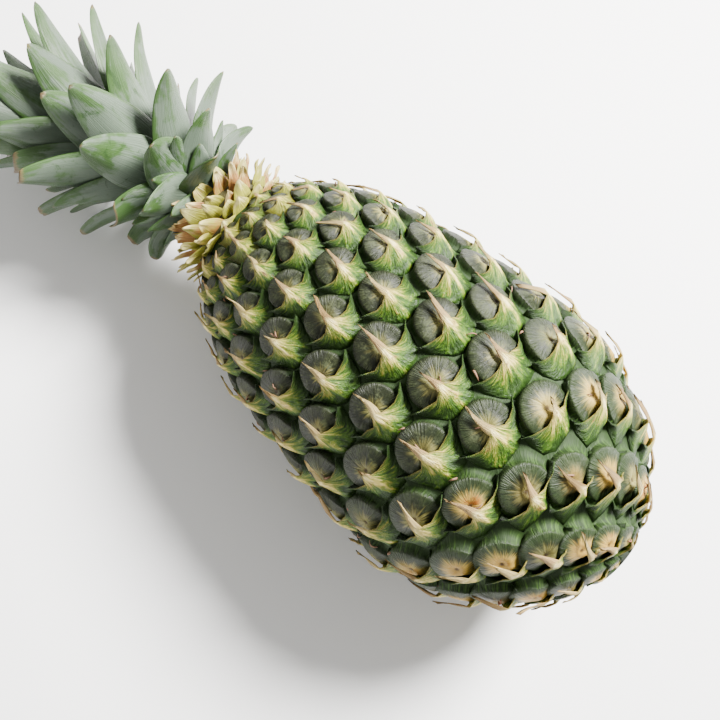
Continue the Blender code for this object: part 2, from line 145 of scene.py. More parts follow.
# What differs from eye to eye, as (least, most) of each draw, or as a share of all eyes
RIPE_AT_BASE, RIPENESS, YELLOWING = 0.62, (-0.3, 0.3), (-0.006, 0.006)
SPINE_LENGTH, BROKEN_SPINES, BROKEN_LENGTH = (0.56, 0.94), 0.16, (0.25, 0.5)
SPINE_TURN, SPINE_BEND, SPINE_LIFT = (-24.0, 24.0), (-0.35, 0.35), (-0.24, -0.04)
SPINE_CURL, CURLED_SPINES, MORE_CURL = (-0.06, 0.2), 0.12, 0.25
BRACT_OPEN, CLOSED_AT_BASE, PEAK_HEIGHT = (-0.05, 0.07), 0.13, (0.85, 1.15)

TILT = radians(AXIS_TILT)
AXIS = Vector((cos(TILT), 0.0, -sin(TILT)))
OVER = Vector((sin(TILT), 0.0, cos(TILT)))
SIDE = Vector((0.0, 1.0, 0.0))
FLAT_X, FLAT_Y = Vector((1.0, 0.0)), Vector((0.0, 1.0))


def mix(start, end, share):
    return start + (end - start) * share


def ease(value, low, high):
    """0 below low, 1 above high, and smooth between them."""
    share = min(1.0, max(0.0, (value - low) / (high - low)))
    return share * share * (3.0 - 2.0 * share)


def read_off(places, values, place):
    """The value at a place on the line through two lists, held at its ends."""
    k = bisect.bisect_right(places, place)
    if k == 0 or k == len(places):
        return values[max(0, k - 1)]
    return mix(values[k - 1], values[k], (place - places[k - 1]) / (places[k] - places[k - 1]))


# The fruit's form
def fruit_radius(along):
    """The outer radius over the tops of the eyes."""
    if along < WIDEST_FROM_BASE:
        share = min(1.0, 1.0 - along / WIDEST_FROM_BASE)
        return WIDEST_RADIUS * sqrt(max(0.0, 1.0 - share**BASE_CURVE))
    share = (along - WIDEST_FROM_BASE) / (FRUIT_LENGTH - WIDEST_FROM_BASE)
    taper = SHOULDER_TAPER * share**SHOULDER_TAPER_POWER
    return WIDEST_RADIUS * (1.0 - taper - NECK_DROP * share**NECK_DROP_POWER)


def fruit_slope(along):
    """Change of radius along the axis."""
    low, high = max(SLOPE_STEP * 0.5, along - SLOPE_STEP), min(FRUIT_LENGTH, along + SLOPE_STEP)
    return (fruit_radius(high) - fruit_radius(low)) / (high - low)


def where_eyes_begin():
    low, high = 0.0, WIDEST_FROM_BASE
    while high - low > SLOPE_STEP * 0.1:
        middle = (low + high) * 0.5
        low, high = (middle, high) if fruit_radius(middle) < BASE_RING_RADIUS else (low, middle)
    return high


def groove_depth(along):
    return min(GROOVE_DEPTH, GROOVE_SHARE_OF_RADIUS * fruit_radius(along))


def toward(angle, ahead, aside):
    """The direction at an angle from ahead, on the way to aside."""
    turn = radians(angle)
    return ahead * cos(turn) + aside * sin(turn)


def radial(angle):
    """Direction out of the axis: 0 degrees is up, 90 is +Y."""
    return toward(angle, OVER, SIDE)


def skin_point(base, along, angle, lift=0.0):
    """A point on the fruit's outer surface, lifted along the surface's normal."""
    slope = fruit_slope(along)
    length = hypot(1.0, slope)
    out = fruit_radius(along) + lift / length
    return base + AXIS * (along - lift * slope / length) + radial(angle) * out


def level_positions():
    """The lowest level of eyes, and how far along every level from there is."""

    def step(along):
        shrink = 1.0 - STEP_SHRINK_TO_CROWN * (along / FRUIT_LENGTH) ** 3
        small = min(1.0, max(SMALLEST_STEP, fruit_radius(along) / SMALL_EYE_RADIUS))
        return LEVEL_STEP * shrink * small / hypot(1.0, fruit_slope(along))

    up, down = [FIRST_EYE_FROM_BASE], []
    while up[-1] < FRUIT_LENGTH:
        up.append(up[-1] + step(up[-1]))
    along = FIRST_EYE_FROM_BASE
    while along > EYES_FROM:
        along -= step(along)
        down.append(along)
    return -len(down), down[::-1] + up


EYES_FROM = where_eyes_begin()
LOWEST_LEVEL, LEVELS = level_positions()


def along_of(level):
    place = min(max(level - LOWEST_LEVEL, 0.0), len(LEVELS) - 1.001)
    low = int(place)
    return min(max(mix(LEVELS[low], LEVELS[low + 1], place - low), EYES_FROM), FRUIT_LENGTH)


def wandered(along, angle):
    """Adds the rows' twist, and a smooth small wander."""
    share = (TWIST_CENTRE - along) / TWIST_LENGTH
    angle += TWIST_SQUARE * share**2 + TWIST_CUBE * share**3
    spot = skin_point(Vector(), along, angle) * WANDER_PER_METRE
    along += WANDER * noise.noise(spot)
    around = WANDER * noise.noise(spot + Vector((9, 4, 2)))
    return along, angle + degrees(around / fruit_radius(along))


def eye_middle(level, half):
    return wandered(along_of(level), FIRST_EYE_ANGLE + TURN_PER_LEVEL * level + 180.0 * half)


def eye_corners(level, half):
    """The six corners of an eye's cell, each a third of the way round two of its neighbours."""
    start = FIRST_EYE_ANGLE + TURN_PER_LEVEL * level + 180.0 * half
    around = [LONG_ROW, RIGHT_ROW, LEFT_ROW]
    around += [(-levels, -turn) for levels, turn in around]
    corners = []
    for first, second in zip(around, around[1:] + around[:1]):
        levels, turn = (first[0] + second[0]) / 3.0, (first[1] + second[1]) / 3.0
        corners.append(wandered(along_of(level + levels), start + turn))
    return corners


def eye_numbers():
    """Every eye as (level, half), from the base to the neck."""
    smallest = FIRST_EYE_OUTSIDE_RING * BASE_RING_RADIUS
    levels = range(LOWEST_LEVEL, LOWEST_LEVEL + len(LEVELS))
    first = min(k for k in levels if fruit_radius(along_of(k)) > smallest)
    last = max(k for k in levels if along_of(k) < FRUIT_LENGTH - LAST_EYE_FROM_NECK)
    return [(level, half) for level in range(first, last + 1) for half in (0, 1)]


def place_base():
    """The base end's place: the middle of the eye that the fruit rests on is the origin."""
    steps = [FRUIT_LENGTH * i / 400 for i in range(1, 401)]
    lowest = max(u * sin(TILT) + fruit_radius(u) * cos(TILT) for u in steps)

    def miss(eye):
        along, angle = eye_middle(*eye)
        below = radians(angle % 360.0 - 180.0) * WIDEST_RADIUS
        return hypot(along - REST_EYE_FROM_BASE, below)

    under = skin_point(Vector(), *eye_middle(*min(eye_numbers(), key=miss)))
    return Vector((-under.x, -under.y, lowest - REST_FLAT_DEPTH))


BASE = place_base()
NECK_FOOT = BASE + AXIS * (FRUIT_LENGTH + GAP)

# Distances over the skin, from the base end to the neck
STATIONS = [FRUIT_LENGTH * (k / 300.0) ** 2 for k in range(301)]
REACHES = [0.0]
for low, high in zip(STATIONS, STATIONS[1:]):
    REACHES.append(REACHES[-1] + hypot(high - low, fruit_radius(high) - fruit_radius(low)))


def near_turn(angle, other):
    """The same direction as angle, within half a turn of the other one."""
    return other + (angle - other + 180.0) % 360.0 - 180.0


class Eye:
    """One eye: its place, its own measure over the skin, and what its bract is like.

    That measure runs to 1 at the cell's corners: x to the crown, y to the side.
    """

    def __init__(self, level, half, draw):
        self.along, self.angle = eye_middle(level, half)
        self.reach = read_off(STATIONS, REACHES, self.along)
        self.groove = groove_depth(self.along)
        middle = skin_point(BASE, self.along, self.angle)
        out = (skin_point(BASE, self.along, self.angle, GROOVE_DEPTH) - middle).normalized()
        self.crown = (AXIS - out * AXIS.dot(out)).normalized()
        self.corners = eye_corners(level, half)
        self.long = self.wide = 1.0
        corners = [self.flat(*corner) for corner in self.corners]
        self.long = (max(c.x for c in corners) - min(c.x for c in corners)) / (2.0 * FLAT_SIDE)
        self.wide = (max(c.y for c in corners) - min(c.y for c in corners)) / 2.0
        self.edge = [self.flat(*corner) for corner in self.corners]
        self.size = (self.long + self.wide) * 0.5
        self.scale = min(self.long, self.wide) / FULL_EYE
        self.draw = draw.random()
        self.base_share = 1.0 - ease(self.along, 0.015, 0.115)
        ripe = self.base_share * RIPE_AT_BASE + draw.uniform(*RIPENESS)
        self.ripe = min(1.0, max(0.0, ripe))
        self.yellow = ease(self.along + draw.uniform(*YELLOWING), 0.183, 0.199)
        self.spine = draw.uniform(*SPINE_LENGTH) * self.size
        if draw.random() < BROKEN_SPINES:
            self.spine *= draw.uniform(*BROKEN_LENGTH)
        spine = (SPINE_TURN, SPINE_BEND, SPINE_LIFT)
        self.turn, self.bend, self.lift = (draw.uniform(*span) for span in spine)
        self.curl = draw.uniform(*SPINE_CURL) + (MORE_CURL if draw.random() < CURLED_SPINES else 0.0)
        self.open = draw.uniform(*BRACT_OPEN) - CLOSED_AT_BASE * self.base_share
        self.peak = draw.uniform(*PEAK_HEIGHT)
        self.marks = dict(draw=self.draw, ripe=self.ripe, yellow=self.yellow, base=self.base_share)

    def flat(self, along, angle):
        reach = read_off(STATIONS, REACHES, along)
        turn = radians(near_turn(angle, self.angle) - self.angle)
        x, y = reach - self.reach, turn * fruit_radius(along)
        return Vector((x / self.long, y / self.wide))

    def point(self, x, y, lift=0.0):
        reach = self.reach + x * self.long
        along = read_off(REACHES, STATIONS, reach)
        angle = self.angle + degrees(y * self.wide / max(fruit_radius(along), SLOPE_STEP))
        past = max(0.0, reach - REACHES[-1])
        return skin_point(BASE, along, angle, lift) + self.crown * past

    def border(self, azimuth):
        """The cell's border in a direction: 0 degrees is to the crown, 90 to the side."""
        ray = toward(azimuth, FLAT_X, FLAT_Y)
        for start, end in zip(self.edge, self.edge[1:] + self.edge[:1]):
            across = end - start
            level = ray.x * across.y - ray.y * across.x
            if abs(level) > 1e-9:
                far = (start.x * across.y - start.y * across.x) / level
                part = (start.x * ray.y - start.y * ray.x) / level
                if far > 0.0 and -0.001 <= part <= 1.001:
                    return ray * far
        return ray * 0.9


# The skin: a cell for each eye, with a domed disc inside a groove
def disc_lift(eye, share, azimuth):
    """Height of the disc: domed, with a small crater, and lower where the bract covers it."""
    crater = CRATER_DEPTH * exp(-((share / CRATER_SHARE) ** 2))
    dome = -DOME_DROP * share**DOME_POWER - crater
    covered = sum(depth * ease(abs(azimuth), low, high) for depth, low, high in COVERED)
    return dome * eye.scale - covered * ease(share, 0.25, 0.65) * eye.groove / GROOVE_DEPTH


def skin_spot(eye, border, share, wall):
    """Where a point of an eye's ring lies on its cell, and how high."""
    way = (border - DISC).normalized()
    azimuth = degrees(atan2(way.y, way.x))
    rough = noise.noise(Vector((way.x * 6.0, way.y * 6.0, eye.draw * 60.0)))
    rim = DISC + way * DISC_RADIUS * (1.0 + RIM_WAVER * rough)
    if wall:
        sunk = 1.0 - (1.0 - share) ** WALL_POWER
        return mix(rim, border, share), mix(disc_lift(eye, 1.0, azimuth), -eye.groove, sunk)
    lift = disc_lift(eye, share, azimuth) + DISC_WAVER * eye.scale * rough * share**2
    return mix(DISC, rim, share), lift


def border_spots(face, eye, spots, corners):
    """Gives the points between a cell's corners their place along and round the skin."""
    ring = face.verts[:]
    for vertex in ring:
        if vertex not in spots:
            away, spot = min(
                ((skin_point(BASE, a, t, -groove_depth(a)) - vertex.co).length, (a, t))
                for a, t in eye.corners
            )
            if away < 0.00015:
                spots[vertex] = spot
                corners.add(vertex)
    start = next(k for k, vertex in enumerate(ring) if vertex in corners)
    ring = ring[start:] + ring[:start] + [ring[start]]
    stops = [k for k, vertex in enumerate(ring) if vertex in corners]
    for low, high in zip(stops, stops[1:]):
        along, angle = spots[ring[low]]
        end_along, end_angle = spots[ring[high]]
        end_angle = near_turn(end_angle, angle)
        for k in range(low + 1, high):
            if ring[k] not in spots:
                share = (k - low) / (high - low)
                spot = (mix(along, end_along, share), mix(angle, end_angle, share))
                spots[ring[k]] = spot
                ring[k].co = skin_point(BASE, *spot, -groove_depth(spot[0]))


def close_end(work, crown_side, rings):
    """Draws one open end of the skin in to rings of (along, radius), and fills the last."""
    half_way = BASE + AXIS * FRUIT_LENGTH * 0.5
    rims = [edge for edge in work.edges if edge.is_boundary]
    edges = [e for e in rims if ((e.verts[0].co - half_way).dot(AXIS) > 0.0) == crown_side]
    for along, radius in rings:
        edges, new = drawn_out(work, edges)
        for vertex in new:
            from_axis = vertex.co - BASE
            from_axis -= AXIS * from_axis.dot(AXIS)
            vertex.co = BASE + AXIS * along + from_axis.normalized() * radius
    bmesh.ops.holes_fill(work, edges=edges, sides=0)


def add_layers(work, *marks):
    """The piece's own map, and the numbers that each face keeps for its material."""
    layers = {mark: work.faces.layers.float.new(mark) for mark in marks}
    return work.loops.layers.uv.new("own"), layers


def mark_face(face, layers, place_of, values):
    """Writes a face's numbers, and each of its corners' place on the own map."""
    uv, marks = layers
    for mark, layer in marks.items():
        face[layer] = values[mark]
    for loop in face.loops:
        loop[uv].uv = place_of(loop.vert)


def drawn_out(work, edges):
    """Extrudes edges, and gives the new edges and the new vertices."""
    made = bmesh.ops.extrude_edge_only(work, edges=edges)["geom"]
    kinds = (bmesh.types.BMEdge, bmesh.types.BMVert)
    return [[part for part in made if isinstance(part, kind)] for kind in kinds]


def flat_strip(work, rows, columns):
    """A flat grid, as each vertex's place across (-1 to 1) and its share of the way up."""
    made = bmesh.ops.create_grid(work, x_segments=rows, y_segments=columns, size=1.0)["verts"]
    return {vertex: (vertex.co.y, (vertex.co.x + 1.0) * 0.5) for vertex in made}


def mark_strip(strip, layers, values):
    for face in {face for vertex in strip for face in vertex.link_faces}:
        mark_face(face, layers, strip.get, values)


def fruit_skin(eyes):
    work = bmesh.new()
    layers = add_layers(work, *EYE_MARKS)
    cell = work.faces.layers.int.new("cell")
    faces = []
    for index, eye in enumerate(eyes):
        made = bmesh.ops.create_circle(work, cap_ends=True, radius=WIDEST_RADIUS, segments=6)["verts"]
        face = made[0].link_faces[0]
        for vertex, (along, angle) in zip(face.verts[:], eye.corners):
            vertex.co = skin_point(BASE, along, angle, -groove_depth(along))
        face[cell] = index
        mark_face(face, layers, lambda vertex: (0.0, 0.0), eye.marks)
        faces.append(face)
    bmesh.ops.remove_doubles(work, verts=work.verts[:], dist=0.0001)
    bmesh.ops.bisect_edges(work, edges=work.edges[:], cuts=EDGE_CUTS)
    spots, corners = {}, set()
    for face, eye in zip(faces, eyes):
        border_spots(face, eye, spots, corners)
    borders = [[eye.flat(*spots[v]) for v in face.verts] for face, eye in zip(faces, eyes)]
    own = [dict(zip(face.verts[:], border)) for face, border in zip(faces, borders)]
    for share in WALL_RINGS + DISC_RINGS:
        bmesh.ops.inset_individual(work, faces=faces, thickness=0.00001)
        for face, eye, border, flat in zip(faces, eyes, borders, own):
            for vertex, start in zip(face.verts[:], border):
                spot, lift = skin_spot(eye, start, share, share in WALL_RINGS)
                flat[vertex] = spot
                vertex.co = eye.point(spot.x, spot.y, lift)
    middles = bmesh.ops.poke(work, faces=faces)["verts"]
    for middle, eye, flat in zip(middles, eyes, own):
        flat[middle] = DISC
        middle.co = eye.point(DISC.x, DISC.y, disc_lift(eye, 0.0, 0.0))
    for face in work.faces:
        for loop in face.loops:
            loop[layers[0]].uv = own[face[cell]][loop.vert]
    whole = set(work.faces)
    lip = (EYES_FROM * 0.6, BASE_RING_RADIUS * 0.94)
    hollow = (EYES_FROM + STEM_HOLLOW_DEPTH, BASE_RING_RADIUS * 0.88)
    close_end(work, False, [lip, hollow])
    close_end(work, True, [(FRUIT_LENGTH, NECK_RADIUS)])
    for face in work.faces:
        if face not in whole:
            mark_face(face, layers, lambda vertex: (-0.9, 0.0), eyes[0].marks)
    for vertex in work.verts:
        vertex.co.z = max(vertex.co.z, 0.0)
    return mesh_from(work, "fruit_skin", outward=True)


# The bracts: a tent from each eye's base side up to a peak, with a dry spine over the disc
def bract_place(eye, across, rise):
    """A point of a bract. Across runs from -1 to 1 between its wings.

    Rise runs from 0 at the root to 1 along its edge, and on to 2 at the spine's tip.
    """
    wide, scale = abs(across), eye.scale
    body, free = min(1.0, rise), max(0.0, rise - 1.0)
    root = eye.border(180.0 - BRACT_REACH * across)
    ragged = RAGGED * noise.noise(Vector((across * 5.0, eye.draw * 50.0, 3.0)))
    peak = PEAK_FORWARD * max(0.0, 1.0 - wide / PEAK_WIDTH) ** 2
    sag = ARM_SAG * wide * (1.0 - wide) - ARM_DROOP * wide**3
    edge = Vector((eye.open - PEAK_BACK + peak - sag + ragged, across * BRACT_SPREAD))
    spot = mix(root, edge, body)
    top = mix(read_off(*BRACT_TOP, wide), SPINE_TOP, free) * scale * eye.peak
    valley = sin(pi * min(1.0, wide / 0.9)) ** 2
    lift = -eye.groove + (top + eye.groove) * body ** mix(STEEP_MIDDLE, STEEP_VALLEY, valley)
    swell = sin(pi * body) ** 0.7
    lift += KEEL_HEIGHT * scale * exp(-((across / KEEL_WIDTH) ** 2)) * swell
    wrinkle = noise.noise(Vector((across * 9.0, rise * 2.5, eye.draw * 90.0)))
    lift += WRINKLE * scale * wrinkle * body * (1.0 - free)
    turn, length = radians(eye.turn), eye.spine / eye.size
    x = spot.x + length * free * cos(turn)
    y = spot.y * (1.0 - SPINE_TAPER * free) + length * (free * sin(turn) + free**2 * eye.bend)
    lift += eye.spine * (free * eye.lift + free**2 * eye.curl)
    place = eye.point(x, y, lift)
    place.z = max(place.z, LEAST_HEIGHT)
    return place


def bract_mesh(name, eyes):
    work = bmesh.new()
    layers = add_layers(work, *EYE_MARKS)
    for eye in eyes:
        grid = flat_strip(work, BRACT_ROWS, BRACT_COLUMNS)
        for vertex, (across, rise) in grid.items():
            grid[vertex] = (copysign(abs(across) ** COLUMNS_TO_MIDDLE, across), rise)
        at_peak = {v for v, (across, rise) in grid.items() if rise > 0.99 and abs(across) < 0.2}
        edges = [e for e in work.edges if e.verts[0] in at_peak and e.verts[1] in at_peak]
        for row in range(SPINE_ROWS):
            edges, new = drawn_out(work, edges)
            row_ends = {}
            for vertex in new:
                joined = [edge.other_vert(vertex) for edge in vertex.link_edges]
                old = next(other for other in joined if other in grid)
                row_ends[vertex] = (grid[old][0], 1.0 + (row + 1.0) / SPINE_ROWS)
            grid.update(row_ends)
        mark_strip(grid, layers, eye.marks)
        for vertex, (across, rise) in grid.items():
            vertex.co = bract_place(eye, across, rise)
    return mesh_from(work, name, outward=True)


def dry_bits(eyes):
    """Thin dry slivers of the old flowers, on the discs and in the grooves."""
    draw = random.Random(SEED + 21)
    work = bmesh.new()
    layers = add_layers(work, "draw")
    for eye in eyes:
        for _ in range(draw.choice((0, 0, 1, 1, 2))):
            on_disc = draw.random() < 0.45
            azimuth = draw.uniform(0.0, 360.0) if on_disc else draw.uniform(-75.0, 75.0)
            start = DISC + eye.border(azimuth) * (0.12 if on_disc else 0.82)
            turn = azimuth + draw.uniform(-70.0, 70.0) + (0.0 if on_disc else 90.0)
            ahead = toward(turn, FLAT_X, FLAT_Y)
            length, width = draw.uniform(0.14, 0.32), draw.uniform(0.012, 0.034)
            rest = -0.0006 if on_disc else -0.55 * eye.groove
            arch = draw.uniform(0.0004, 0.0018) * eye.scale
            marks = dict(draw=draw.random())
            grid = flat_strip(work, 4, 2)
            mark_strip(grid, layers, marks)
            for vertex, (across, share) in grid.items():
                spot = start + ahead * length * share
                spot += ahead.orthogonal() * (across * width * (1.0 - 0.9 * share**2) + 0.08 * share**2)
                lift = rest + arch * sin(pi * share) + 0.0003 * (1.0 - abs(across))
                vertex.co = eye.point(spot.x, spot.y, lift)
                vertex.co.z = max(vertex.co.z, LEAST_HEIGHT)
    return mesh_from(work, "dry_bits")


# Leaves, scales and stalks
def blade_solid(root, along, away, length, width, lean, curl, thickness, sink):
    """The plain solid's sections and tip, which say how far a leaf leans."""
    across = along.cross(away).normalized()
    point = root - blade_ahead(along, away, lean, curl, 0.0) * sink
    sections = []
    for k in range(BLADE_STATIONS):
        share = k / BLADE_STATIONS
        ahead = blade_ahead(along, away, lean, curl, share)
        inward = ahead.cross(across).normalized()
        taper = sqrt(1.0 - share**BLADE_FULLNESS) * min(1.0, BLADE_WAIST + share)
        edge = across * width * 0.5 * taper
        gutter = inward * width * BLADE_CHANNEL * taper
        half_thick = inward * thickness * (1.0 - BLADE_THINNING * share) * 0.5
        sections.append(
            [point + edge + gutter, point + half_thick, point - edge + gutter, point - half_thick]
        )
        point = point + ahead * (length + sink) / BLADE_STATIONS
    return sections, point


def blade_ahead(along, away, lean, curl, share):
    return toward(lean + curl * (2.0 * share**0.8 - 1.0), along, away)


def in_row(row, k, count):
    """The angle of a blade in its row. Every other row stands half a step on."""
    return 360.0 * (k + 0.5 * (row % 2)) / count


def crown_frame(at):
    """The stalk's middle and its directions (along, over, side) at a distance from its foot."""
    point, steps = BASE + AXIS * (FRUIT_LENGTH + NECK_LENGTH + 2.0 * GAP), max(1, int(at / 0.001))
    for k in range(steps + 1):
        share = min(1.0, at * k / steps / CROWN_BEND_OVER)
        turn = Matrix.Rotation(radians(CROWN_BEND * share), 3, "Z")
        lift = Matrix.Rotation(radians(-CROWN_LEVEL_OUT * share), 3, "Y")
        along = turn @ lift @ AXIS
        if k:
            point = point + along * (at / steps)
    over = (OVER - along * OVER.dot(along)).normalized()
    return point, along, over, over.cross(along)


def crown_radius(at):
    return mix(CROWN_STALK_RADIUS, CROWN_STALK_TIP_RADIUS, at / CROWN_STALK_LENGTH)


def leaf_form(share):
    """Length, width and lean of a leaf: short and spread low down, long and upright higher."""
    grown = sin(min(1.0, share / LONGEST_LEAF_SHARE) * pi / 2.0)
    inner = max(0.0, (share - INNER_LEAF_SHARE) / (1.0 - INNER_LEAF_SHARE))
    length = mix(LEAF_SHORTEST, LEAF_LONGEST, grown) + (LEAF_INNERMOST - LEAF_LONGEST) * inner
    width = mix(LEAF_WIDTH, LEAF_INNER_WIDTH, inner)
    return length, width, LEAF_LEAN - LEAF_LEAN_DROP * share**LEAF_LEAN_POWER


def crown_leaves():
    """Every leaf's root, directions and measures, leaned in until it clears the floor."""
    draw, look = random.Random(SEED), random.Random(SEED + 7)
    leaves = []
    for index in range(LEAF_COUNT):
        share = index / (LEAF_COUNT - 1)
        at = mix(FIRST_LEAF_AT, CROWN_STALK_LENGTH, share**LEAF_SPREAD_POWER)
        point, along, over, side = crown_frame(at)
        away = toward(GOLDEN_ANGLE * index + draw.uniform(-8.0, 8.0), over, side)
        length, width, lean = leaf_form(share)
        lean += draw.uniform(-6.0, 6.0)
        length *= draw.uniform(0.86, 1.12)
        root = point + away * crown_radius(at) * LEAF_ROOT_OUT
        curl, thickness = LEAF_CURL * (1.0 - 0.5 * share), LEAF_THICKNESS * (1.0 - 0.3 * share)
        while True:
            sections, tip = blade_solid(
                root, along, away, length, width, lean, curl, thickness, LEAF_ROOT_SINK
            )
            if min(p.z for section in sections + [[tip]] for p in section) > FLOOR_CLEARANCE:
                break
            lean -= 0.65
        is_cut = look.random() < CUT_LEAVES and share < UNCUT_FROM
        cut = look.uniform(*LEAF_CUT) if is_cut else 1.0
        width *= look.uniform(*LEAF_WIDER)
        leaf = dict(LEAF_FORM, root=root, along=along, away=away, length=length, width=width)
        leaves.append(dict(leaf, lean=lean, curl=curl, cut=cut, draw=look.random(), inner=share))
    for row, (at, count, lean, long) in enumerate(FOOT_ROWS_OF_LEAVES):
        point, along, over, side = crown_frame(at)
        for k in range(count):
            away = toward(in_row(row, k, count) + look.uniform(-12.0, 12.0), over, side)
            leaf = dict(
                FOOT_LEAF_FORM, root=point + away * crown_radius(at) * LEAF_ROOT_OUT, along=along,
                away=away, length=long * look.uniform(0.8, 1.2),
                width=FOOT_LEAF_WIDTH * look.uniform(0.85, 1.15), lean=lean + look.uniform(-8.0, 8.0),
                curl=look.uniform(0.0, 24.0), cut=1.0, draw=look.random(), inner=0.0,
            )
            leaves.append(leaf)
    return leaves


def neck_blades():
    """The dry scales on the neck, in rows that lean less towards the crown."""
    look = random.Random(SEED + 9)
    scales = []
    for row, (at, count, lean, long) in enumerate(NECK_ROWS_OF_SCALES):
        out = mix(NECK_RADIUS, NECK_TOP_RADIUS, at / NECK_LENGTH) - SCALE_ROOT_SINK
        for k in range(count):
            away = radial(in_row(row, k, count) + look.uniform(-7.0, 7.0))
            size = look.uniform(0.75, 1.2)
            scale = dict(
                SCALE_FORM, root=NECK_FOOT + AXIS * at + away * out, along=AXIS, away=away,
                length=long * size, width=SCALE_WIDTH * look.uniform(0.8, 1.25),
                lean=lean + look.uniform(-12.0, 8.0), curl=look.uniform(-8.0, 30.0),
                channel=look.uniform(-0.04, 0.1),
                cut=look.uniform(0.6, 0.85) if look.random() < 0.2 else 1.0,
                draw=look.random(), inner=row / (len(NECK_ROWS_OF_SCALES) - 1),
            )
            scales.append(scale)
    return scales


def blade_mesh(name, blades, stations, columns):
    """Gutter-shaped blades, each from a grid drawn out along its own line."""
    work = bmesh.new()
    thick = work.verts.layers.deform.new()
    layers = add_layers(work, *BLADE_MARKS)
    for blade in blades:
        across = blade["along"].cross(blade["away"]).normalized()
        ahead = [
            blade_ahead(blade["along"], blade["away"], blade["lean"], blade["curl"], k / stations)
            for k in range(stations + 1)
        ]
        line = [blade["root"] - ahead[0] * blade["sink"]]
        step = (blade["length"] + blade["sink"]) * blade["cut"] / stations
        for first, second in zip(ahead, ahead[1:]):
            line.append(line[-1] + (first + second).normalized() * step)
        grid = flat_strip(work, stations, columns)
        own = {vertex: (wide, share * blade["cut"]) for vertex, (wide, share) in grid.items()}
        mark_strip(own, layers, blade)
        tips = []
        for vertex, (wide, share) in grid.items():
            station = round(share * stations)
            length_share = share * blade["cut"]
            inward = ahead[station].cross(across).normalized()
            taper = max(0.0, 1.0 - length_share ** blade["full"]) ** blade["point"]
            taper *= min(1.0, BLADE_WAIST + length_share)
            half = blade["width"] * 0.5 * taper
            gutter = blade["width"] * blade["channel"] * taper * wide * wide
            seed = Vector((wide * 1.3, length_share * 4.0, blade["draw"] * 70.0))
            wave = blade["wave"] * noise.noise(seed) * ease(length_share, 0.2, 0.8)
            ragged = 0.0
            if blade["cut"] < 1.0 and station == stations:
                ragged = CUT_RAGGED * noise.noise(Vector((wide * 4.0, blade["draw"] * 33.0, 1.0)))
            vertex.co = line[station] + across * half * wide + inward * (gutter + wave)
            vertex.co += ahead[station] * ragged
            vertex.co.z = max(vertex.co.z, BLADE_FLOOR)
            vertex[thick][0] = mix(1.0, 0.3, abs(wide) ** 1.5) * mix(1.0, 0.55, length_share)
            if blade["cut"] == 1.0 and station == stations:
                tips.append(vertex)
        if tips:
            tip = Vector((line[-1].x, line[-1].y, max(line[-1].z, BLADE_FLOOR)))
            bmesh.ops.pointmerge(work, verts=tips, merge_co=tip)
    return mesh_from(work, name)


def stalk_mesh(name, rings, sides):
    """A round stalk through rings of (middle, direction, radius), closed at both ends."""
    work = bmesh.new()
    layers = add_layers(work, *BLADE_MARKS)
    made = bmesh.ops.create_circle(work, cap_ends=True, radius=1.0, segments=sides)["verts"]
    face = made[0].link_faces[0]
    edges, ring = face.edges[:], face.verts[:]
    for index, (middle, ahead, radius) in enumerate(rings):
        if index:
            edges, new = drawn_out(work, edges)
            ring = [next(e.other_vert(v) for e in v.link_edges if e.other_vert(v) in new) for v in ring]
        turn = ahead.to_track_quat("Z", "Y")
        for k, vertex in enumerate(ring):
            angle = 2.0 * pi * k / sides
            vertex.co = middle + turn @ Vector((cos(angle), sin(angle), 0.0)) * radius
    bmesh.ops.holes_fill(work, edges=edges, sides=0)
    for part in work.faces:
        mark_face(part, layers, lambda vertex: (0.0, 0.0), dict(draw=0.4, inner=0.5, cut=1.0))
    return mesh_from(work, name, outward=True)


# Objects
def mesh_from(work, name, outward=False):
    if outward:
        bmesh.ops.recalc_face_normals(work, faces=work.faces[:])
    mesh = bpy.data.meshes.new(name)
    work.to_mesh(mesh)
    work.free()
    for polygon in mesh.polygons:
        polygon.use_smooth = True
    return mesh


def add_piece(name, mesh, material, slot=None):
    piece = bpy.data.objects.new(name, mesh)
    piece.data.materials.append(material)
    bpy.context.scene.collection.objects.link(piece)
    if slot:
        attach(piece, "root")
    return piece


def thicken(piece, thickness, offset, by_weight=False, rounds=1):
    if by_weight:
        piece.vertex_groups.new(name="thick")
    wall = piece.modifiers.new("wall", "SOLIDIFY")
    wall.thickness, wall.offset = thickness, offset
    if by_weight:
        wall.vertex_group, wall.thickness_vertex_group = "thick", 0.1
    if rounds:
        smooth = piece.modifiers.new("smooth", "SUBSURF")
        smooth.levels = smooth.render_levels = rounds


# Materials
class Value:
    """A number worked out over the surface. Sums and products of it add Math nodes."""

    def __init__(self, paint, socket):
        self.paint, self.socket = paint, socket

    def __add__(self, other):
        return self.paint.maths("ADD", self, other)

    def __sub__(self, other):
        return self.paint.maths("SUBTRACT", self, other)

    def __rsub__(self, other):
        return self.paint.maths("SUBTRACT", other, self)

    def __mul__(self, other):
        return self.paint.maths("MULTIPLY", self, other)

    def __truediv__(self, other):
        return self.paint.maths("DIVIDE", self, other)

    __radd__, __rmul__ = __add__, __mul__

    def rise(self, low, high):
        """0 below low, 1 above high, smooth between. Low may be the higher number."""
        sockets = {"Value": self, "From Min": low, "From Max": high}
        if low > high:
            sockets.update({"From Min": high, "From Max": low, "To Min": 1.0, "To Max": 0.0})
        return self.paint.node("MapRange", sockets, interpolation_type="SMOOTHSTEP")


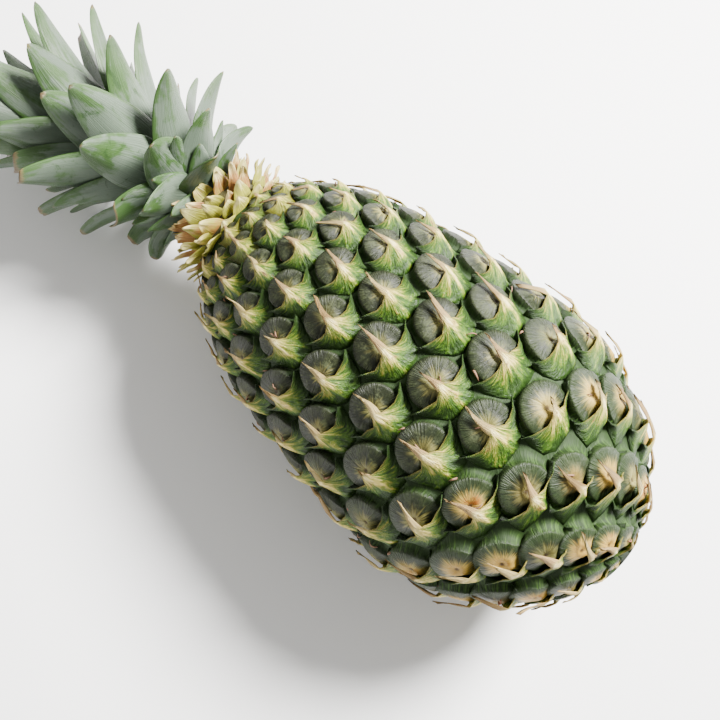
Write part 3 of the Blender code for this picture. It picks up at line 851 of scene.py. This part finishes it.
class Paint:
    """One material. node() adds any node, and the rest are the few kinds used most."""

    def __init__(self, name):
        self.material = bpy.data.materials.new(name)
        self.material.use_nodes = True
        self.tree = self.material.node_tree
        self.shader = self.tree.nodes["Principled BSDF"]

    def feed(self, socket, value):
        if isinstance(value, Value):
            self.tree.links.new(value.socket, socket)
        elif isinstance(value, tuple) and len(value) == 3 and socket.type == "RGBA":
            socket.default_value = (*value, 1.0)
        else:
            socket.default_value = value

    def node(self, kind, sockets, output=0, **settings):
        made = self.tree.nodes.new("ShaderNode" + kind)
        for key, value in settings.items():
            setattr(made, key, value)
        for key, value in sockets.items():
            self.feed(made.inputs[key], value)
        return Value(self, made.outputs[output])

    def maths(self, operation, first, second=0.0):
        return self.node("Math", {0: first, 1: second}, operation=operation)

    def grain(self, place, scale, detail, roughness=0.5, distortion=0.0):
        sockets = dict(Vector=place, Scale=scale, Detail=detail, Roughness=roughness)
        return self.node("TexNoise", dict(sockets, Distortion=distortion))

    def cloud(self, *size_and_detail):
        """Grain through the whole object, in metres."""
        return self.grain(self.node("TexCoord", {}, "Object"), *size_and_detail)

    def streaks(self, x, y, z, *detail):
        """Grain over a map of its own, made of three numbers."""
        return self.grain(self.node("CombineXYZ", {0: x, 1: y, 2: z}), 1.0, *detail)

    def blend(self, share, first, second):
        """The second colour over the first, as far as share says."""
        sockets = {0: share, 6: first, 7: second}
        return self.node("Mix", sockets, 2, data_type="RGBA")

    def coats(self, colour, *coats):
        """Coats of (cover, colour) over a colour, one after the other."""
        for cover, coat in coats:
            colour = self.blend(cover, colour, coat)
        return colour

    def own(self):
        """The two directions of the piece's own map."""
        place = self.node("SeparateXYZ", {0: self.node("UVMap", {}, uv_map="own")})
        return [Value(self, output) for output in place.socket.node.outputs[:2]]

    def marks(self, *names):
        """The numbers that each face keeps for its material."""
        return [self.node("Attribute", {}, "Fac", attribute_name=name) for name in names]

    def finish(self, colour, roughness, height=None, depth=0.0, strength=1.0, shine=0.5):
        """The material, with a relief of the height, so many metres deep."""
        sockets = {"Base Color": colour, "Roughness": roughness, "Specular IOR Level": shine}
        if height:
            relief = dict(Height=height, Distance=depth, Strength=strength)
            sockets["Normal"] = self.node("Bump", relief)
        for key, value in sockets.items():
            self.feed(self.shader.inputs[key], value)
        return self.material


def skin_paint():
    """The eyes' discs: dusty dark green, ribbed round the rim, pale to golden at the middle."""
    paint = Paint("eye_skin")
    x, y = paint.own()
    draw, ripe, base = paint.marks("draw", "ripe", "base")
    x = x - DISC.x
    far = paint.maths("SQRT", x * x + y * y)
    share, near = far / DISC_RADIUS, paint.maths("MAXIMUM", far, 0.02)
    x, y = x / near, y / near
    ribs = paint.streaks(x * 5.0, y * 5.0, share * 0.9 + draw * 37.0, 2.0, 0.55)
    fringe = paint.streaks(x * 17.0, y * 17.0, share * 1.3 + draw * 53.0, 2.0, 0.6)
    waver = fringe - 0.5
    patch, speck = paint.cloud(150.0, 3.0, 0.6), paint.cloud(1300.0, 3.0, 0.7)
    dust = (speck * 0.7 + patch + ribs * 0.3).rise(0.94, 1.24)
    dust = dust * (share + waver * 0.5).rise(1.15, 0.35)
    tuft = (share + (ribs - 0.5) * 0.3).rise(0.55, 0.95) * fringe.rise(0.5, 0.66)
    pale = (share + (ribs - 0.5) * 0.8 + waver * 0.5 - ripe * 0.42).rise(0.5, 0.02)
    gold = (share + waver * 0.8 - ripe * 0.45).rise(0.34, -0.05) * ripe.rise(0.3, 0.7)
    ribbed = base * fringe.rise(0.5, 0.6) * share.rise(1.5, 1.02)
    # The groove walls between the eyes: dark green skin, painted darker still as shade down in the
    # recess.
    groove = paint.coats(
        paint.blend(patch, (0.0045, 0.013, 0.0013), (0.014, 0.038, 0.003)),
        (ribbed, (0.036, 0.082, 0.01)),
    )
    outside = (share + waver * 0.16).rise(0.98, 1.05)
    colour = paint.coats(
        paint.blend(ribs * 0.6 + patch * 0.4, (0.0028, 0.0042, 0.0012), (0.014, 0.0195, 0.005)),
        (dust * 0.8, (0.078, 0.092, 0.04)),
        (tuft * 0.45, (0.05, 0.066, 0.022)),
        (base * share.rise(0.45, 0.85) * 0.55, (0.018, 0.042, 0.008)),
        (pale * draw.rise(-0.35, 0.75) * 0.9, (0.24, 0.22, 0.062)),
        (gold, (0.5, 0.31, 0.055)),
        ((patch + waver * 0.5).rise(0.56, 0.7) * gold, (0.3, 0.085, 0.008)),
        ((share + waver * 0.15).rise(0.13, 0.04) * 0.85, (0.045, 0.022, 0.009)),
        (outside, groove),
    )
    height = ribs * 0.4 + fringe * share.rise(0.45, 0.95) * 0.9 + speck * 0.15 + patch * 0.3
    roughness = 0.5 + dust * 0.25 + outside * 0.2
    return paint.finish(colour, roughness, height * (1.0 - outside * 0.6), 0.0011, 0.9, 0.3)


def bract_paint():
    """The bracts: deep green at the root, streaked yellow and cream to the peak, dry at the spine, with
    a painted highlight along the keel and arms and painted shade in the valleys.
    """
    paint = Paint("bract")
    across, rise = paint.own()
    draw, ripe, yellow = paint.marks("draw", "ripe", "yellow")
    wide, below = paint.maths("ABSOLUTE", across), 1.0 - paint.maths("MINIMUM", rise, 1.0)
    fan = across / (below + 0.24)
    streak = paint.streaks(fan * 3.4, below * 1.6, draw * 61.0, 3.0, 0.7, 0.4)
    hair = paint.streaks(fan * 11.0, below * 2.6, draw * 17.0, 3.0, 0.65)
    patch, speck = paint.cloud(230.0, 3.0, 0.6), paint.cloud(1500.0, 2.0, 0.6)
    from_peak = paint.maths("SQRT", across * across * 1.25 + below * below * 0.95)
    arm = wide.rise(0.35, 0.8) * rise.rise(0.55, 0.95)
    # Paleness towards the peak is the bract's own colour. The lift along the keel and on the arms is a
    # painted highlight on the ridges, and the deep green left low in the valleys is partly painted
    # shade.
    paleness_and_ridge_highlight = 0.84 - from_peak + wide.rise(0.11, 0.01) * 0.34 + arm * 0.1 + (streak - 0.5) * 1.6
    paleness_and_ridge_highlight = paleness_and_ridge_highlight + (hair - 0.5) * 1.0 + (patch - 0.5) * 0.45 + ripe * 0.06
    golden = (patch + (streak - 0.5) * 0.5).rise(0.6, 0.72) * paleness_and_ridge_highlight.rise(0.3, 0.6)
    spine = rise.rise(0.96, 1.12) * wide.rise(0.3, 0.2)
    dry = paint.coats(
        paint.blend(hair, (0.2, 0.1, 0.05), (0.62, 0.42, 0.24)),
        (draw.rise(0.45, 0.75) * 0.75, (0.62, 0.52, 0.24)),
        (draw.rise(0.22, 0.1) * 0.75, (0.17, 0.085, 0.035)),
    )
    rim = (rise + (hair - 0.5) * 0.1).rise(0.93, 0.99) * wide.rise(0.85, 0.5)
    stain = (patch + (hair - 0.5) * 0.8).rise(0.68, 0.8) * paleness_and_ridge_highlight.rise(0.35, 0.7)
    # From deep green, partly painted shade in the valleys, up to cream, partly a painted highlight on
    # the keel and peak.
    colour = paint.coats(
        paint.blend(hair, (0.006, 0.019, 0.0015), (0.02, 0.054, 0.003)),
        (paleness_and_ridge_highlight.rise(-0.02, 0.3), (0.04, 0.098, 0.0035)),
        (paleness_and_ridge_highlight.rise(0.26, 0.54), (0.15, 0.19, 0.013)),
        (yellow * 0.75, (0.27, 0.24, 0.018)),
        ((paleness_and_ridge_highlight + yellow * 0.1).rise(0.5, 0.8), (0.57, 0.46, 0.11)),
        (paleness_and_ridge_highlight.rise(0.8, 1.05) * 0.85, (0.84, 0.71, 0.32)),
        (speck.rise(0.54, 0.72) * paleness_and_ridge_highlight.rise(0.0, 0.5) * 0.4, (0.34, 0.34, 0.15)),
        (golden * 0.6, (0.34, 0.2, 0.03)),
        (spine * 0.95, dry),
        (rise.rise(1.75, 2.0) * 0.6, (0.15, 0.075, 0.035)),
        (rim * 0.5, (0.24, 0.16, 0.035)),
        (stain * 0.85, (0.07, 0.03, 0.018)),
    )
    height = streak * 0.9 + hair * 1.1 + speck * 0.1
    return paint.finish(colour, 0.54 + spine * 0.2, height, 0.001, 0.9, 0.3)


def bit_paint():
    """Dry slivers: pinkish brown to tan."""
    paint = Paint("dry_bit")
    (across, share), (draw,) = paint.own(), paint.marks("draw")
    grain = paint.streaks(across * 1.5, share * 3.0, draw * 47.0, 3.0, 0.6)
    colour = paint.coats(
        paint.blend(grain, (0.05, 0.02, 0.012), (0.38, 0.205, 0.115)),
        (draw.rise(0.8, 0.86) * 0.5, (0.34, 0.075, 0.06)),
    )
    return paint.finish(colour, 0.7, grain, 0.0004, 0.8)


def leaf_paint():
    """Crown leaves: pale waxy bloom over green, rubbed off in patches, with dry ends."""
    paint = Paint("crown_leaf")
    (across, rise), (draw, cut) = paint.own(), paint.marks("draw", "cut")
    wide, up = paint.maths("ABSOLUTE", across), rise / cut
    lines = paint.streaks(across * 30.0, rise * 1.6, draw * 41.0, 2.0, 0.6)
    broad = paint.streaks(across * 1.8, rise * 2.2, draw * 23.0, 4.0, 0.6, 0.6)
    patch, speck = paint.cloud(110.0, 5.0, 0.65, 0.8), paint.cloud(1200.0, 2.0, 0.6)
    bare = broad * 1.1 + patch * 0.6 + wide.rise(0.7, 1.0) * 0.2 + up.rise(0.45, 1.0) * 0.26
    rubbed = bare.rise(0.92, 1.12)
    end = up + (lines - 0.5) * 0.06 + (patch - 0.5) * 0.1
    dried = paint.maths("MAXIMUM", draw.rise(0.55, 0.75), cut.rise(0.98, 0.95))
    green = paint.blend(lines, (0.018, 0.05, 0.009), (0.05, 0.112, 0.02))
    colour = paint.coats(
        paint.blend(lines, (0.068, 0.096, 0.066), (0.138, 0.182, 0.132)),
        (draw * 0.5, (0.045, 0.069, 0.044)),
        (rubbed * 0.9, green),
        ((patch + speck * 0.18).rise(0.68, 0.76) * 0.7, (0.02, 0.05, 0.012)),
        (end.rise(0.955, 0.98) * dried, (0.175, 0.14, 0.058)),
        (end.rise(0.965, 0.99) * 0.8, (0.085, 0.052, 0.022)),
        ((wide + (patch - 0.5) * 0.2).rise(0.93, 1.0) * 0.5, (0.035, 0.085, 0.014)),
    )
    height = lines * 0.8 + speck * 0.08 + patch * 0.3
    return paint.finish(colour, 0.46 - rubbed * 0.1, height, 0.0005, 0.7, 0.4)


def scale_paint():
    """Neck scales: yellow-green, cream towards their tips, some dried orange-brown."""
    paint = Paint("neck_scale")
    (across, rise), (draw, row) = paint.own(), paint.marks("draw", "inner")
    lines = paint.streaks(across * 9.0, rise * 1.7, draw * 41.0, 3.0, 0.6)
    patch = paint.cloud(240.0, 3.0, 0.6)
    fresh = paint.blend(lines, (0.13, 0.155, 0.012), (0.46, 0.42, 0.04))
    dried = paint.blend(lines, (0.13, 0.05, 0.012), (0.54, 0.27, 0.065))
    cream = (rise + (lines - 0.5) * 0.9 + (patch - 0.5) * 0.5).rise(0.52, 0.92)
    colour = paint.coats(
        fresh,
        ((draw + row * 0.5 + (patch - 0.5) * 0.8).rise(0.66, 0.96), dried),
        (cream * 0.8, (0.72, 0.62, 0.26)),
        ((rise + (lines - 0.5) * 0.2).rise(0.9, 1.0) * 0.7, (0.1, 0.045, 0.015)),
    )
    return paint.finish(colour, 0.6, lines + patch * 0.4, 0.0007, 0.85)


def neck_paint():
    """The neck between its scales: dull olive to brown."""
    paint = Paint("neck_body")
    patch = paint.cloud(300.0, 4.0, 0.7)
    colour = paint.blend(patch, (0.012, 0.018, 0.003), (0.11, 0.09, 0.02))
    return paint.finish(colour, 0.75, patch, 0.001, 0.9)


def stem_paint():
    """The cut end of the stem: dry tan fibre, with darker patches."""
    paint = Paint("cut_stem_face")
    fibre, patch = paint.cloud(900.0, 4.0, 0.7), paint.cloud(180.0, 3.0, 0.6)
    colour = paint.coats(
        paint.blend(fibre, (0.1, 0.055, 0.022), (0.34, 0.235, 0.12)),
        (patch.rise(0.52, 0.66) * 0.6, (0.05, 0.028, 0.012)),
    )
    return paint.finish(colour, 0.85, fibre + patch, 0.0008, 0.9)


def floor_paint():
    """The studio's pale floor, with hardly any cloud in it."""
    paint = Paint("studio_floor")
    colour = paint.blend(paint.cloud(3.0, 2.0), (0.86, 0.86, 0.87), (0.9, 0.9, 0.91))
    return paint.finish(colour, 0.6)


# The studio
def add_camera():
    """The photograph's view: from above, with the fruit's axis slanting across the frame."""
    aim = BASE + AXIS * CAMERA_AIM_ALONG
    tip = radians(CAMERA_TIP)
    back = (SIDE * sin(tip) + OVER * cos(tip) - AXIS * CAMERA_TO_BASE).normalized()
    along = (AXIS - back * AXIS.dot(back)).normalized()
    over = back.cross(along)
    level, steep = CAMERA_SLANT
    right = (along * -level - over * steep).normalized()
    up = (along * steep - over * level).normalized()
    camera = bpy.data.objects.new("camera", bpy.data.cameras.new("camera"))
    camera.data.lens, camera.data.sensor_width = CAMERA_LENS, CAMERA_SENSOR
    turn = Matrix((right, up, back)).transposed().to_4x4()
    to_left, to_top = CAMERA_OFF_CENTRE
    turn.translation = aim + (back - right * to_left + up * to_top) * CAMERA_DISTANCE
    camera.matrix_world = turn
    bpy.context.scene.collection.objects.link(camera)
    bpy.context.scene.camera = camera
    return right, up, back, aim


def add_lamp(name, place, aim, size, power, colour):
    lamp = bpy.data.objects.new(name, bpy.data.lights.new(name, "AREA"))
    lamp.data.shape = "DISK"
    lamp.data.size, lamp.data.energy, lamp.data.color = size, power, colour
    turn = (place - aim).to_track_quat("Z", "Y").to_matrix().to_4x4()
    turn.translation = place
    lamp.matrix_world = turn
    bpy.context.scene.collection.objects.link(lamp)


def add_studio():
    work = bmesh.new()
    bmesh.ops.create_grid(work, x_segments=2, y_segments=2, size=3.0)
    floor = add_piece("studio_floor", mesh_from(work, "studio_floor"), floor_paint())
    right, up, back, aim = add_camera()
    world = bpy.data.worlds.new("studio")
    world.use_nodes = True
    sky = world.node_tree.nodes["Background"].inputs
    sky["Color"].default_value, sky["Strength"].default_value = (1.0, 0.985, 0.955, 1.0), 0.68
    bpy.context.scene.world = world
    key, fill = right * 0.7 + up * 0.62 + back * 0.62, right * -0.8 + up * 0.3 + back * 0.7
    add_lamp("key", aim + key, aim, 0.45, 98.0, (1.0, 0.985, 0.95))
    add_lamp("fill", aim + fill, aim, 0.9, 2.0, (1.0, 0.98, 0.94))


def main():
    draw = random.Random(SEED + 5)
    eyes = [Eye(level, half, draw) for level, half in eye_numbers()]
    skin = add_piece("fruit_skin", fruit_skin(eyes), skin_paint(), "skin")
    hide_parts("fruit")
    bract = bract_paint()
    middle = sorted(eye.along for eye in eyes)[len(eyes) // 2]
    for name, part in (
        ("bracts_base_half", [eye for eye in eyes if eye.along < middle]),
        ("bracts_crown_half", [eye for eye in eyes if eye.along >= middle]),
    ):
        piece = add_piece(name, bract_mesh(name, part), bract, "skin")
        thicken(piece, BRACT_THICKNESS, -1.0, rounds=0)
        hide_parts("fruit")
    bits = add_piece("dry_bits", dry_bits(eyes), bit_paint(), "skin")
    thicken(bits, BIT_THICKNESS, 0.0, rounds=0)
    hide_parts("fruit")
    top = NECK_FOOT + AXIS * NECK_LENGTH
    rings = [(NECK_FOOT, AXIS, NECK_RADIUS), (top, AXIS, NECK_TOP_RADIUS)]
    neck = add_piece("neck", stalk_mesh("neck", rings, 24), neck_paint(), "dry_scale")
    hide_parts("neck_scales")
    mesh = blade_mesh("neck_blades", neck_blades(), 7, 6)
    scales = add_piece("neck_blades", mesh, scale_paint(), "dry_scale")
    thicken(scales, SCALE_THICKNESS, 0.0, by_weight=True)
    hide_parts("neck_scales")
    leaf = leaf_paint()
    steps = [k / (CROWN_STALK_RINGS - 1) for k in range(CROWN_STALK_RINGS)]
    stations = [CROWN_STALK_LENGTH * step for step in steps]
    rings = [(*crown_frame(at)[:2], crown_radius(at)) for at in stations]
    stalk = add_piece("crown_stalk", stalk_mesh("crown_stalk", rings, 16), leaf, "leaf")
    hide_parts("crown_leaves")
    mesh = blade_mesh("leaf_blades", crown_leaves(), 13, 8)
    leaves = add_piece("leaf_blades", mesh, leaf, "leaf")
    thicken(leaves, LEAF_THICKNESS, 0.0, by_weight=True)
    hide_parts("crown_leaves")
    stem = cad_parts["cut_stem"]
    stem.data.materials.clear()
    stem.data.materials.append(stem_paint())
    add_studio()


main()
